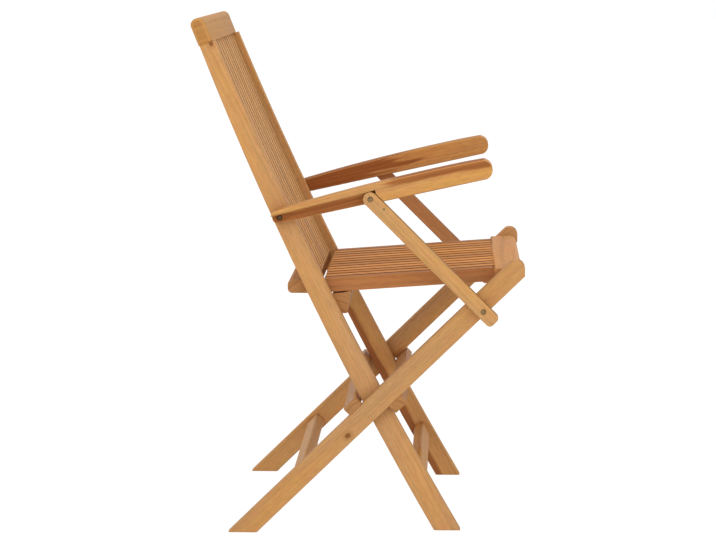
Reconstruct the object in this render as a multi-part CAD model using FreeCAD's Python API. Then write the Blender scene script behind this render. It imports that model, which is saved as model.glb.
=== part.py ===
import FreeCAD, Part
import math
import os

# Folding armchair in teak. Millimetres, +X towards the sitter's front, +Y to the sitter's left, +Z up.
# The origin lies on the floor, below the middle of the chair. Most outlines are drawn in side view (x, z)
# and given their thickness along Y.

# Back posts: one curved board on each side, from the front foot up to the top rail
front_foot_x = 153.6
post_top_x = -256.9
post_top_z = 847.0
post_bow = 17.0
post_foot_width = 40.0
post_mid_width = 36.0
post_top_width = 28.0
post_thick = 22.0
post_gap = 419.0

# Rear legs: straight boards outside the posts
rear_foot_x = -202.9
leg_angle = 44.2
leg_width = 35.0
leg_thick = 22.0
leg_past_hinge = 23.2
leg_nose_radius = 15.0

# Layers from the middle of the chair outwards
side_gap = 1.5
brace_gap = 1.0
brace_thick = 18.0
arm_skin = 1.0
lift_clearance = 0.3
pin_clearance = 0.05

# Top rail
rail_height = 46.2
rail_front = 9.0
rail_rear = 16.0
rail_round = 11.0
rail_end_round = 9.0

# Back slats
back_slat_count = 12
back_slat_width = 27.0
back_slat_thick = 12.0
back_slat_front = 4.0

# Rails across the back at seat height; the slats start below the bottom rail and are cut at its top
bottom_rail_share = 0.45
bottom_rail_width = 52.0
bottom_rail_height = 23.0
bottom_rail_drop = 1.9
bottom_rail_lead = 1.0
bottom_rail_round = 8.0
support_height = 38.0
support_thick = 22.0
support_from_seat_rear = 20.0
support_lean = 9.0

# Stretchers
stretcher_width = 30.0
stretcher_thick = 20.0
stretcher_round = 5.0
front_stretcher_share = 0.108
rear_stretcher_up_leg = 141.0

# Seat, laid out from its hinge near the front ends of the rear legs
hinge_up_leg = 649.0
seat_slope = 4.0
seat_side_gap = 4.5
seat_above_hinge = 9.5
seat_below_hinge = 14.5
seat_rear_gap = 9.1
seat_rail_width = 22.0
seat_slat_count = 11
seat_slat_width = 26.0
seat_slat_thick = 13.0
front_rail_rear = 28.0
front_rail_front = 20.0
front_rail_top = 10.5
front_rail_low = 15.5
front_rail_round = 12.0
batten_width = 28.0
front_batten_from_hinge = 58.0
rear_batten_from_seat_rear = 20.0
edge_round = 2.5

# Stop battens screwed on the edges of the rear legs, beside the crossing
stop_length = 28.0
stop_height = 17.0
stop_from_crossing = 16.0
stop_round = 3.0

# Armrests, laid out from their rear pivot along the arm
arm_pivot_share = 0.6598
arm_pivot_front = -3.1
arm_slope = 13.0
arm_tip = 373.0
arm_rear_radius = 12.5
arm_rear_above = 13.5
arm_rear_below = 9.0
arm_mid_above = 22.0
arm_mid_below = 11.0
arm_front_above = 20.5
arm_front_below = 14.0
arm_nose_radius = 13.0
arm_rear_round = 9.0
lip_rear_above = 5.0
lip_front_above = 11.0
recess_front = 171.0
recess_clearance = 1.0
arm_ease = 2.5

# Braces from the armrests down to the rear legs
brace_along_arm = 159.5
brace_above_arm_line = -2.5
brace_foot_up_leg = 572.6
brace_foot_above_leg_line = -10.0
brace_width = 25.0
brace_tail = 28.0
brace_tail_round = 8.0
brace_round = 2.0

# Fittings
pin_radius = 5.0
pin_in_post = 16.0
pin_in_leg = 16.0
washer_radius = 12.0
washer_thick = 1.0
bolt_radius = 3.0
head_radius = 6.0
head_thick = 2.2
head_sink = 2.6
head_room = 0.7
bolt_in_post = 15.0
bolt_in_arm = 18.0
insert_radius = 5.0
insert_depth = 14.0
hinge_pin_radius = 4.5
hinge_pin_in_leg = 16.0
hinge_pin_in_rail = 30.0

# Layers worked out from the sizes above
post_inner = post_gap / 2
post_outer = post_inner + post_thick
leg_inner = post_outer + side_gap
leg_outer = leg_inner + leg_thick
brace_inner = leg_outer + brace_gap
brace_outer = brace_inner + brace_thick
arm_inner = leg_inner
arm_outer = brace_outer + arm_skin
front_rail_end = leg_inner - side_gap
seat_half_width = post_inner - seat_side_gap

RIGHT = -1
LEFT = 1


def write(node, shape):
    shape.exportStep("parts/" + node + ".step")


# Side-view points

def polar(angle):
    return math.cos(math.radians(angle)), math.sin(math.radians(angle))


def shifted(point, direction, along, across):
    """Point moved along a direction and to the left of it."""
    dx, dz = direction
    return point[0] + dx * along - dz * across, point[1] + dz * along + dx * across


def towards(start, end):
    length = math.hypot(end[0] - start[0], end[1] - start[1])
    return (end[0] - start[0]) / length, (end[1] - start[1]) / length


def post_arc():
    """Centre, radius and end angles of the post's curved middle line."""
    foot = (front_foot_x, 0.0)
    top = (post_top_x, post_top_z)
    half = math.hypot(top[0] - foot[0], top[1]) / 2
    radius = (half ** 2 + post_bow ** 2) / (2 * post_bow)
    middle = ((foot[0] + top[0]) / 2, (foot[1] + top[1]) / 2)
    centre = shifted(middle, towards(foot, top), 0, post_bow - radius)
    start = math.atan2(foot[1] - centre[1], foot[0] - centre[0])
    end = math.atan2(top[1] - centre[1], top[0] - centre[0])
    if start < 0:
        start += 2 * math.pi
    if end < 0:
        end += 2 * math.pi
    return centre, radius, start, end


def post_point(share, front=0.0):
    """Point at a share of the post's length from its foot, a distance in front of the middle line."""
    centre, radius, start, end = post_arc()
    angle = start + (end - start) * share
    reach = radius - front
    return centre[0] + reach * math.cos(angle), centre[1] + reach * math.sin(angle)


def leg_point(along, above=0.0):
    return shifted((rear_foot_x, 0.0), polar(leg_angle), along, above)


def reach_to_back(start, direction, front=0.0):
    """Distance along a line to the post's middle line, or to a curve some way in front of it."""
    centre, radius, _, _ = post_arc()
    dx, dz = direction
    ox = start[0] - centre[0]
    oz = start[1] - centre[1]
    half_b = ox * dx + oz * dz
    rest = ox * ox + oz * oz - (radius - front) ** 2
    root = math.sqrt(half_b * half_b - rest)
    return min(reach for reach in (-half_b - root, -half_b + root) if reach > 0)


def crossing():
    """Point where the leg's middle line meets the post's, and its distance up the leg."""
    along = reach_to_back(leg_point(0), polar(leg_angle))
    return leg_point(along), along


def seat_length():
    """From the hinge to the seat's rear end, which stops short of the back slats."""
    dx, dz = polar(seat_slope)
    return reach_to_back(leg_point(hinge_up_leg), (-dx, -dz), back_slat_front) - seat_rear_gap


def bottom_rail_corner():
    """Upper front corner of the bottom rail, just below the seat's rear end."""
    z = seat_point(seat_length(), seat_above_hinge)[1] - bottom_rail_drop
    hinge_x = leg_point(hinge_up_leg)[0]
    return hinge_x - reach_to_back((hinge_x, z), (-1, 0), back_slat_front) + bottom_rail_lead, z


def seat_point(back, above=0.0):
    """Point a distance behind the seat's hinge, and above its level."""
    dx, dz = polar(seat_slope)
    hinge = leg_point(hinge_up_leg)
    return hinge[0] - dx * back - dz * above, hinge[1] - dz * back + dx * above


def arm_pivot():
    return post_point(arm_pivot_share, arm_pivot_front)


def arm_point(along, above=0.0):
    return shifted(arm_pivot(), polar(arm_slope), along, above)


def brace_top():
    return arm_point(brace_along_arm, brace_above_arm_line)


def brace_foot():
    return leg_point(brace_foot_up_leg, brace_foot_above_leg_line)


def brace_point(start, along, above=0.0):
    return shifted(start, towards(brace_top(), brace_foot()), along, above)


# Solids from side-view outlines

def vec(point, y=0.0):
    return FreeCAD.Vector(point[0], y, point[1])


def line(a, b):
    return Part.LineSegment(vec(a), vec(b)).toShape()


def arc(a, b, c):
    return Part.Arc(vec(a), vec(b), vec(c)).toShape()


def slab(edges, low, high):
    """Closed side-view outline given its thickness between two Y levels."""
    face = Part.Face(Part.Wire(edges))
    face.translate(FreeCAD.Vector(0, low, 0))
    return face.extrude(FreeCAD.Vector(0, high - low, 0))


def polygon(points):
    closed = list(points) + [points[0]]
    return [line(a, b) for a, b in zip(closed, closed[1:])]


def side_span(side, inner, outer):
    return (inner, outer) if side == LEFT else (-outer, -inner)


def rod(point, radius, low, high):
    return Part.makeCylinder(radius, high - low, vec(point, low), FreeCAD.Vector(0, 1, 0))


def edges_along(shape, direction, picked=None):
    """Straight edges along a direction, or those of them that the test picks."""
    chosen = []
    for edge in shape.Edges:
        if edge.Curve.TypeId != "Part::GeomLine":
            continue
        way = edge.Vertexes[-1].Point - edge.Vertexes[0].Point
        if way.Length < 1e-6 or abs(way.normalize().dot(direction)) < 0.999:
            continue
        if picked is None or picked(edge.CenterOfMass):
            chosen.append(edge)
    return chosen


def across_y(shape, radius, picked=None):
    """Rounds the edges that run across the chair."""
    return shape.makeFillet(radius, edges_along(shape, FreeCAD.Vector(0, 1, 0), picked))


def half_space(level):
    """Block that takes away whatever lies below a level."""
    size = 4 * post_top_z
    return Part.makeBox(size, size, size, FreeCAD.Vector(-size / 2, -size / 2, level - size))


def oblong(middle, direction, length, height, low, high, radius):
    """Bar across the chair with a rounded rectangle for its section."""
    corners = []
    for along, above in ((-1, -1), (1, -1), (1, 1), (-1, 1)):
        corners.append(shifted(middle, direction, along * length / 2, above * height / 2))
    return across_y(slab(polygon(corners), low, high), radius)


# Back frame

def post(side):
    low, high = side_span(side, post_inner, post_outer)
    below = -post_foot_width / post_top_z
    front = [post_point(below, post_foot_width / 2), post_point(0.5, post_mid_width / 2),
             post_point(1, post_top_width / 2)]
    rear = [post_point(below, -post_foot_width / 2), post_point(0.5, -post_mid_width / 2),
            post_point(1, -post_top_width / 2)]
    outline = [arc(*front), line(front[2], rear[2]), arc(*reversed(rear)), line(rear[0], front[0])]
    board = slab(outline, low, high).cut(half_space(0))
    inner, outer = (low, high) if side == LEFT else (high, low)
    depth = pin_in_post * (1 if side == LEFT else -1)
    pin_hole = rod(crossing()[0], pin_radius, *sorted((outer - depth, outer)))
    depth = bolt_in_post * (1 if side == LEFT else -1)
    bolt_hole = rod(arm_pivot(), bolt_radius, *sorted((outer - depth, outer)))
    return board.cut(pin_hole).cut(bolt_hole)


def top_rail():
    """Thick rail on the post tops, its upper edges and ends strongly rounded."""
    up = towards(post_point(0.999), post_point(1))
    top = post_point(1)
    corners = [shifted(top, up, 0, -rail_front), shifted(top, up, rail_height, -rail_front),
               shifted(top, up, rail_height, rail_rear), shifted(top, up, 0, rail_rear)]
    block = slab(polygon(corners), -post_outer, post_outer)
    crown = vec(shifted(top, up, rail_height, 0))
    way = FreeCAD.Vector(up[0], 0, up[1])
    block = across_y(block, rail_round, lambda middle: (middle - crown).dot(way) > -1)
    ends = edges_along(block, way)
    return block.makeFillet(rail_end_round, ends)


def back_slat(index):
    """One slat, curved with the posts, from the bottom rail up to the top rail."""
    room = post_gap - back_slat_count * back_slat_width
    gap = room / (back_slat_count + 1)
    low = -post_inner + gap + index * (back_slat_width + gap)
    shares = (bottom_rail_share, (bottom_rail_share + 1) / 2, 1)
    front = [post_point(share, back_slat_front) for share in shares]
    rear = [post_point(share, back_slat_front - back_slat_thick) for share in shares]
    outline = [arc(*front), line(front[2], rear[2]), arc(*reversed(rear)), line(rear[0], front[0])]
    slat = slab(outline, low, low + back_slat_width)
    return slat.cut(half_space(bottom_rail_corner()[1]))


def bottom_rail():
    """Level rail between the posts, standing out behind them, with its rear edges rounded."""
    front, top = bottom_rail_corner()
    rear = front - bottom_rail_width
    corner = FreeCAD.Vector(rear, -post_inner, top - bottom_rail_height)
    rail = Part.makeBox(bottom_rail_width, post_gap, bottom_rail_height, corner)
    return across_y(rail, bottom_rail_round, lambda middle: middle.x < rear + 1)


def support_rail():
    """Rail between the posts that carries the rear end of the seat."""
    top = -seat_below_hinge - lift_clearance
    half = support_thick / 2
    centre = seat_length() - support_from_seat_rear - front_rail_rear / 2
    corners = [seat_point(centre - half, top), seat_point(centre + half, top),
               seat_point(centre + half + support_lean, top - support_height),
               seat_point(centre - half + support_lean, top - support_height)]
    rail = slab(polygon(corners), -post_inner, post_inner)
    return across_y(rail, edge_round)


def front_stretcher():
    middle = post_point(front_stretcher_share)
    way = towards(post_point(front_stretcher_share - 0.01), post_point(front_stretcher_share + 0.01))
    return oblong(middle, way, stretcher_width, stretcher_thick, -post_inner, post_inner, stretcher_round)


# Rear leg frame

def rear_leg(side):
    """Straight leg with a flat foot and a rounded upper end that is cut upright at the front."""
    low, high = side_span(side, leg_inner, leg_outer)
    half = leg_width / 2
    dx, dz = polar(leg_angle)
    front_along = hinge_up_leg + leg_past_hinge / dx
    reach = half * dz / dx
    corners = [leg_point(-leg_width, -half), leg_point(front_along - reach, -half),
               leg_point(front_along + reach, half), leg_point(-leg_width, half)]
    board = slab(polygon(corners), low, high)
    peak = corners[2]
    board = across_y(board, leg_nose_radius, lambda middle: math.dist((middle.x, middle.z), peak) < 1)
    board = across_y(board, edge_round, lambda middle: abs(middle.x - corners[1][0]) < 1)
    board = board.cut(half_space(0))
    way = 1 if side == LEFT else -1
    inner = leg_inner * way
    outer = leg_outer * way
    pin_end = inner + way * (pin_in_leg + lift_clearance)
    holes = [rod(crossing()[0], pin_radius + pin_clearance, *sorted((inner, pin_end))),
             rod(leg_point(hinge_up_leg), hinge_pin_radius, *sorted((inner, inner + way * hinge_pin_in_leg))),
             rod(brace_foot(), insert_radius, *sorted((outer, outer - way * insert_depth)))]
    for hole in holes:
        board = board.cut(hole)
    return board


def rear_stretcher():
    middle = leg_point(rear_stretcher_up_leg)
    return oblong(middle, polar(leg_angle), stretcher_width, stretcher_thick,
                  -leg_inner, leg_inner, stretcher_round)


def stop_batten(edge):
    """Batten along one edge of both legs: the upper one behind the posts, the lower one in front."""
    along = crossing()[1] - edge * (stop_from_crossing + stop_length / 2)
    middle = leg_point(along, edge * (leg_width + stop_height) / 2)
    return oblong(middle, polar(leg_angle), stop_length, stop_height, -leg_outer, leg_outer, stop_round)


# Seat

def seat_box(front, rear, top, low, y_low, y_high):
    corners = [seat_point(front, top), seat_point(rear, top), seat_point(rear, low), seat_point(front, low)]
    return slab(polygon(corners), y_low, y_high)


def seat_front_rail():
    """Thick front rail between the legs, with a rolled front edge and a hinge hole in each end."""
    rail = seat_box(-front_rail_front, front_rail_rear, front_rail_top, -front_rail_low,
                    -front_rail_end, front_rail_end)
    nose = seat_point(-front_rail_front, 0)
    rail = across_y(rail, front_rail_round, lambda middle: abs(middle.x - nose[0]) < 3)
    rail = across_y(rail, edge_round, lambda middle: middle.x < nose[0] - front_rail_front)
    hinge = leg_point(hinge_up_leg)
    for side in (RIGHT, LEFT):
        span = side_span(side, front_rail_end - hinge_pin_in_rail, front_rail_end)
        rail = rail.cut(rod(hinge, hinge_pin_radius + pin_clearance, *span))
    return rail


def seat_side_rail(side):
    span = side_span(side, seat_half_width - seat_rail_width, seat_half_width)
    rail = seat_box(front_rail_rear, seat_length(), seat_above_hinge, -seat_below_hinge, *span)
    return across_y(rail, edge_round)


def seat_slat(index):
    inner = seat_half_width - seat_rail_width
    gap = (2 * inner - seat_slat_count * seat_slat_width) / (seat_slat_count + 1)
    low = -inner + gap + index * (seat_slat_width + gap)
    slat = seat_box(front_rail_rear, seat_length(), seat_above_hinge,
                    seat_above_hinge - seat_slat_thick, low, low + seat_slat_width)
    rear = seat_point(seat_length())[0]
    return across_y(slat, edge_round, lambda middle: middle.x < rear + 3)


def seat_batten(from_hinge):
    inner = seat_half_width - seat_rail_width
    return seat_box(from_hinge - batten_width / 2, from_hinge + batten_width / 2,
                    seat_above_hinge - seat_slat_thick, -seat_below_hinge, -inner, inner)


# Armrests and braces

def arm_blank(low, high):
    """Armrest before its recess: arched top, rounded ends and eased upper edges."""
    top = [arm_point(-arm_rear_radius, arm_rear_above), arm_point(arm_tip / 2, arm_mid_above),
           arm_point(arm_tip, arm_front_above)]
    under = [arm_point(-arm_rear_radius, -arm_rear_below), arm_point(arm_tip / 2, -arm_mid_below),
             arm_point(arm_tip, -arm_front_below)]
    outline = [arc(*top), line(top[2], under[2]), arc(*reversed(under)), line(under[0], top[0])]
    arm = slab(outline, low, high)
    middle_x = arm_point(arm_tip / 2)[0]
    arm = across_y(arm, arm_nose_radius, lambda middle: middle.x > middle_x)
    arm = across_y(arm, arm_rear_round, lambda middle: middle.x < middle_x)
    upper = []
    for edge in arm.Edges:
        middle = edge.valueAt((edge.FirstParameter + edge.LastParameter) / 2)
        crown = arm_point(arm_tip / 2, arm_mid_above)
        if edge.BoundBox.YLength < 0.01 and math.hypot(middle.x - crown[0], middle.z - crown[1]) < 20:
            upper.append(edge)
    return arm.makeChamfer(arm_ease, upper)


def armrest(side):
    """Armrest with a recess in its outer face, under a lip, where the folded brace lies."""
    low, high = side_span(side, arm_inner, arm_outer)
    arm = arm_blank(low, high)
    recess_low, recess_high = side_span(side, leg_outer, arm_outer + brace_thick)
    front = brace_width / 2 + recess_clearance
    beyond = 2 * brace_width
    corners = [arm_point(-beyond, lip_rear_above), arm_point(-beyond, -beyond),
               brace_point(brace_top(), 2 * beyond, front), brace_point(brace_top(), 0, front),
               arm_point(recess_front, lip_front_above)]
    arm = arm.cut(slab(polygon(corners), recess_low, recess_high))
    way = 1 if side == LEFT else -1
    pivot = arm_pivot()
    face = leg_outer * way
    arm = arm.cut(rod(pivot, bolt_radius + pin_clearance, *sorted((arm_inner * way, face))))
    arm = arm.cut(rod(pivot, head_radius - 1 + head_room, *sorted((face - way * head_sink, face))))
    return arm.cut(rod(brace_top(), bolt_radius, *sorted((face - way * bolt_in_arm, face))))


def brace(side):
    """Flat brace with a half-round upper end and a blunt lower end past its bolt."""
    low, high = side_span(side, brace_inner, brace_outer)
    start = brace_top()
    foot = brace_foot()
    half = brace_width / 2
    points = [brace_point(start, 0, -half), brace_point(foot, brace_tail, -half),
              brace_point(foot, brace_tail, half), brace_point(start, 0, half)]
    outline = [line(points[0], points[1]), line(points[1], points[2]), line(points[2], points[3]),
               arc(points[3], brace_point(start, -half), points[0])]
    bar = slab(outline, low, high)
    tail = brace_point(foot, brace_tail)
    bar = across_y(bar, brace_tail_round, lambda middle: math.dist((middle.x, middle.z), tail) < half + 1)
    way = 1 if side == LEFT else -1
    outer = brace_outer * way
    inner = brace_inner * way
    holes = [rod(start, bolt_radius + pin_clearance, *sorted((inner, outer))),
             rod(foot, bolt_radius, *sorted((inner, outer))),
             rod(start, head_radius + head_room, *sorted((outer - way * head_sink, outer))),
             rod(foot, head_radius + head_room, *sorted((outer - way * head_sink, outer)))]
    for hole in holes:
        bar = bar.cut(hole)
    return bar


# Fittings

def bolt(point, side, face, shank, head):
    """Bolt along Y with a flat head sunk below the given face, its shank running inwards."""
    way = 1 if side == LEFT else -1
    seat = (face - head_sink) * way
    body = rod(point, bolt_radius, *sorted((seat - way * shank, seat)))
    cap = rod(point, head, *sorted((seat, seat + way * head_thick)))
    return body.fuse(cap).removeSplitter()


def crossing_pin(side):
    way = 1 if side == LEFT else -1
    span = sorted((way * (post_outer - pin_in_post), way * (leg_inner + pin_in_leg)))
    return rod(crossing()[0], pin_radius, *span)


def spacer(point, side, hole):
    """Washer on the outer face of a post."""
    span = side_span(side, post_outer, post_outer + washer_thick)
    return rod(point, washer_radius, *span).cut(rod(point, hole, *span))


def hinge_pin(side):
    way = 1 if side == LEFT else -1
    inner_end = front_rail_end - hinge_pin_in_rail + 1
    span = sorted((way * inner_end, way * (leg_inner + hinge_pin_in_leg)))
    return rod(leg_point(hinge_up_leg), hinge_pin_radius, *span)


def foot_insert(side):
    span = side_span(side, leg_outer - insert_depth, leg_outer)
    return rod(brace_foot(), insert_radius, *span)


def pair(make):
    return Part.makeCompound([make(RIGHT), make(LEFT)])


def write_back_frame():
    write("right_post", post(RIGHT))
    write("left_post", post(LEFT))
    write("top_rail", top_rail())
    write("back_bottom_rail", bottom_rail())
    write("seat_support_rail", support_rail())
    write("front_stretcher", front_stretcher())
    for index in range(back_slat_count):
        write("back_slat_%02d" % (index + 1), back_slat(index))
    pivot = arm_pivot()
    write("crossing_pins", pair(crossing_pin))
    write("crossing_washers", pair(lambda side: spacer(crossing()[0], side, pin_radius)))
    write("armrest_washers", pair(lambda side: spacer(pivot, side, bolt_radius)))
    shank = leg_outer - head_sink - post_outer + bolt_in_post
    write("armrest_pivot_bolts", pair(lambda side: bolt(pivot, side, leg_outer, shank, head_radius - 1)))


def write_leg_frame():
    write("right_rear_leg", rear_leg(RIGHT))
    write("left_rear_leg", rear_leg(LEFT))
    write("rear_stretcher", rear_stretcher())
    write("upper_stop_batten", stop_batten(1))
    write("lower_stop_batten", stop_batten(-1))
    write("seat_hinge_pins", pair(hinge_pin))
    write("brace_foot_inserts", pair(foot_insert))


def write_seat():
    write("seat_front_rail", seat_front_rail())
    write("right_seat_rail", seat_side_rail(RIGHT))
    write("left_seat_rail", seat_side_rail(LEFT))
    write("seat_front_batten", seat_batten(front_batten_from_hinge))
    write("seat_rear_batten", seat_batten(seat_length() - rear_batten_from_seat_rear))
    for index in range(seat_slat_count):
        write("seat_slat_%02d" % (index + 1), seat_slat(index))


def write_armrests():
    for side, name in ((RIGHT, "right"), (LEFT, "left")):
        write(name + "_armrest", armrest(side))
        write(name + "_arm_brace", brace(side))
        top_shank = brace_outer - head_sink - leg_outer + bolt_in_arm
        write(name + "_brace_top_bolt", bolt(brace_top(), side, brace_outer, top_shank, head_radius))
        foot_shank = brace_thick - head_sink
        write(name + "_brace_foot_bolt", bolt(brace_foot(), side, brace_outer, foot_shank, head_radius))


os.makedirs("parts", exist_ok=True)
write_back_frame()
write_leg_frame()
write_seat()
write_armrests()
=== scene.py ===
import math

import bmesh
import bpy
from bpy.props import FloatProperty, FloatVectorProperty, PointerProperty
from bpy.types import Operator, Panel, PropertyGroup
from mathutils import Euler, Matrix, Vector


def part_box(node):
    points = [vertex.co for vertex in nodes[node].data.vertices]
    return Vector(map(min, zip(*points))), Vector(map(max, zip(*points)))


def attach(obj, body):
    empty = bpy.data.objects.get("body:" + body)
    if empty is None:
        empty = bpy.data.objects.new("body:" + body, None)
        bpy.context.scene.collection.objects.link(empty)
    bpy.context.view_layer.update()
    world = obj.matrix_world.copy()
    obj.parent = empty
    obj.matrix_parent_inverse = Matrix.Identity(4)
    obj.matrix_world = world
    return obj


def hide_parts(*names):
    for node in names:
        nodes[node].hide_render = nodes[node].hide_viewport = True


bl_info = {
    "name": "Folding teak armchair",
    "version": (1, 0, 0),
    "blender": (4, 5, 0),
    "location": "View3D > Sidebar > Armchair",
    "description": "Dresses the folding teak armchair: softened boards, slats, fittings and oiled teak",
    "category": "Object",
}

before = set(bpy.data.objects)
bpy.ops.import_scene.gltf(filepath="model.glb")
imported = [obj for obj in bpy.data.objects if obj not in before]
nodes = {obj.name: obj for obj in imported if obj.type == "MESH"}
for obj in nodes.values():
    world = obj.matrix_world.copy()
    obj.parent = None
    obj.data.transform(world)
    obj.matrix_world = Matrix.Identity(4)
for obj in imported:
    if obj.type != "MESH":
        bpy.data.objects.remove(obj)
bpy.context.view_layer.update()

MM = 0.001
SIDES = ("right", "left")
OUTWARD = {"right": -1, "left": 1}
BACK_SLATS = ["back_slat_%02d" % (i + 1) for i in range(12)]
SEAT_SLATS = ["seat_slat_%02d" % (i + 1) for i in range(11)]

# Slopes of boards in side view, in degrees, and the turn that lays a board across the chair along X
SEAT_SLOPE = 4.0
ARM_SLOPE = 13.0
BRACE_SLOPE = -45.0
ACROSS = (0.0, 0.0, math.radians(-90))

# Edges sharper than this, in degrees, are softened, apart from those as short as on curves and hole rims
BOARD_ANGLE = 50.0
ARM_ANGLE = 80.0
SHORTEST_EDGE = 1 * MM

# Edges of the grown pieces that are sharper than this, in degrees, stay crisp in the shading
CRISP_ANGLE = 35.0

# The support rail is widened to the rear by this much, on a slope that stays clear of the seat's screws
SUPPORT_REACH = 11 * MM
SUPPORT_SLOPE = 16.0

# The front end of an armrest: the radius of its nose and the eased edge round the sides of the solid
NOSE_RADIUS = 17.3 * MM
ARM_EASE = 2.5 * MM

# Radii of the sunk holes in the solids
ARM_HOLE = 5.7 * MM
BRACE_HOLE = 6.7 * MM

# Fittings: the height of a bolt's head, how far each bolt reaches into the wood under it, half of the
# distance between the two screws of a joint, and the place of a brace's pin in side view
BOLT_HEAD = 2.2 * MM
BOLT_REACH = {"pivot": 34.9 * MM, "top": 34.4 * MM, "foot": 15.4 * MM}
SCREW_APART = 6 * MM
BRACE_PIN_X = 45.4 * MM
BRACE_PIN_Z = 567.3 * MM

BACK_SLAT_THICK = 12 * MM

# Knots as place and size, the painted shade round an armrest's pivot, and the dark heartwood of single
# boards;
# inside an armrest's recess the heartwood also stands for painted shade under the lip
POST_KNOT = ((-0.2500, -0.2315, 0.8465), 5.5 * MM)
LEG_KNOT = ((-0.0183, -0.255, 0.1723), 6.2 * MM)
PIVOT_SHADE = 7.5 * MM
POST_BAND = {"Level": 0.034, "Slope": 0.01, "Start": -0.5, "End": -0.03, "Waver": 0.014}
ARM_BANDS = {
    "right": {"Level": 0.0075, "Slope": -0.03, "Start": 0.03, "End": 0.3, "Waver": 0.012},
    "left": {"Level": -0.012, "Slope": 0.1, "Start": -0.4, "End": 0.0, "Fade": 0.05, "Waver": 0.03,
             "Streaks": 0.5},
}
# Inside an armrest's recess: heartwood, and painted shade under the lip
ARM_RECESS_HEART_AND_SHADE = {"depth": 4 * MM, "level": 8 * MM, "end": -20 * MM}

# Lamps: name, place, size and share of the key light's power
LAMPS = (("key", (-1.0, -3.6, 2.2), 3.0, 1.0), ("fill", (2.4, -3.2, 1.2), 2.8, 0.5),
         ("top", (0.3, 0.2, 3.8), 2.4, 0.45), ("rear", (-2.6, 2.6, 2.2), 2.4, 0.25))
LAMP_TARGET = (0, 0, 0.42)
FLOOR_HALF = 30.0

# Masks of the teak figure
GRAIN = ("Rings", "Flecks", "Fibres", "Pores", "Warmth", "Drift")


# Sizes and colours a user may change

def tone(name, description, rgb):
    """A wood colour, given as it looks on screen, 0 to 255."""
    linear = [pow((c / 255 + 0.055) / 1.055, 2.4) for c in rgb]
    return FloatVectorProperty(name=name, description=description, subtype="COLOR", size=3, min=0, max=1,
                               default=linear)


def length(name, description, millimetres):
    return FloatProperty(name=name, description=description, subtype="DISTANCE", unit="LENGTH", min=0,
                         precision=4, default=millimetres * MM)


def share(name, description, default, most=1):
    return FloatProperty(name=name, description=description, min=0, max=most, default=default)


def angle(name, description, degrees):
    return FloatProperty(name=name, description=description, subtype="ANGLE", unit="ROTATION",
                         default=math.radians(degrees))


class TeakTones(PropertyGroup):
    post: tone("Posts", "Colour of the two curved back posts", (198, 147, 93))
    rail: tone("Rails", "Colour of the top rail and the front stretcher", (193, 140, 81))
    back_slat: tone("Back slats", "Colour of the back slats", (215, 161, 105))
    leg: tone("Rear legs", "Colour of the straight rear legs and their stretcher", (193, 143, 90))
    batten: tone("Battens", "Colour of the battens and of the rails across the back", (181, 131, 84))
    seat: tone("Front rail", "Colour of the seat's front rail", (204, 146, 92))
    seat_rail: tone("Seat side rails", "Colour of the seat's side rails", (172, 115, 71))
    seat_slat: tone("Seat slats", "Colour of the seat slats", (212, 146, 86))
    arm: tone("Right armrest", "Colour of the right armrest", (200, 146, 86))
    left_arm: tone("Left armrest", "Colour of the left armrest", (189, 132, 75))
    brace: tone("Right brace", "Colour of the brace under the right armrest", (199, 149, 93))
    left_brace: tone("Left brace", "Colour of the brace under the left armrest", (181, 126, 80))


class TeakFigure(PropertyGroup):
    ring: length("Growth rings", "Usual distance between two growth rings", 7.0)
    contrast: share("Contrast", "Strength of the light and dark figure", 1.0, 2)
    heartwood: share("Heartwood", "Share of dark heartwood streaks", 0.3)
    roughness: share("Roughness", "Roughness of the oiled surface", 0.56)


class BoardEdges(PropertyGroup):
    softened: length("Board edges", "Width of the softened edges of the frame boards", 1.5)
    slat: length("Slat edges", "Radius of the softened long edges of the slats", 0.9)
    arm: length("Armrest edges", "Width of the softened edges of the armrests", 1.5)


class FittingSizes(PropertyGroup):
    bolt: length("Bolt heads", "Diameter of the slotted bolt heads", 7.8)
    sunk: length("Room around the bolts", "Gap between a bolt head and its sunk hole", 1.3)
    screw: length("Screw head", "Diameter of the countersunk screw heads", 6.5)
    pin: length("Brace pins", "Diameter of the small pins in the braces", 4.5)
    slot: length("Driver slot", "Width of the slot in each head", 1.2)


class StageSettings(PropertyGroup):
    lens: FloatProperty(name="Lens", description="Focal length of the camera", subtype="DISTANCE_CAMERA",
                        unit="CAMERA", default=118.93)
    place: FloatVectorProperty(name="Camera", description="Place of the camera", subtype="XYZ", unit="LENGTH",
                               size=3, default=(0.16172, -4.26086, 1.00351))
    tilt: angle("Tilt", "How far the camera looks down", 7.7017)
    turn: angle("Turn", "How far the camera is turned to its left", 2.3087)
    roll: angle("Roll", "How far the camera leans to one side", -0.1726)
    key: FloatProperty(name="Key light", description="Power of the large lamp beside the camera",
                       subtype="POWER", unit="POWER", default=45.0)
    world: FloatProperty(name="Surroundings", description="Strength of the light from all round", min=0,
                         default=0.68)


class ArmchairSettings(PropertyGroup):
    tones: PointerProperty(type=TeakTones)
    figure: PointerProperty(type=TeakFigure)
    edges: PointerProperty(type=BoardEdges)
    fittings: PointerProperty(type=FittingSizes)
    stage: PointerProperty(type=StageSettings)


def settings():
    return bpy.context.scene.armchair


# Node trees

def opaque(colour):
    return tuple(colour)[:3] + (1.0,)


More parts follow.
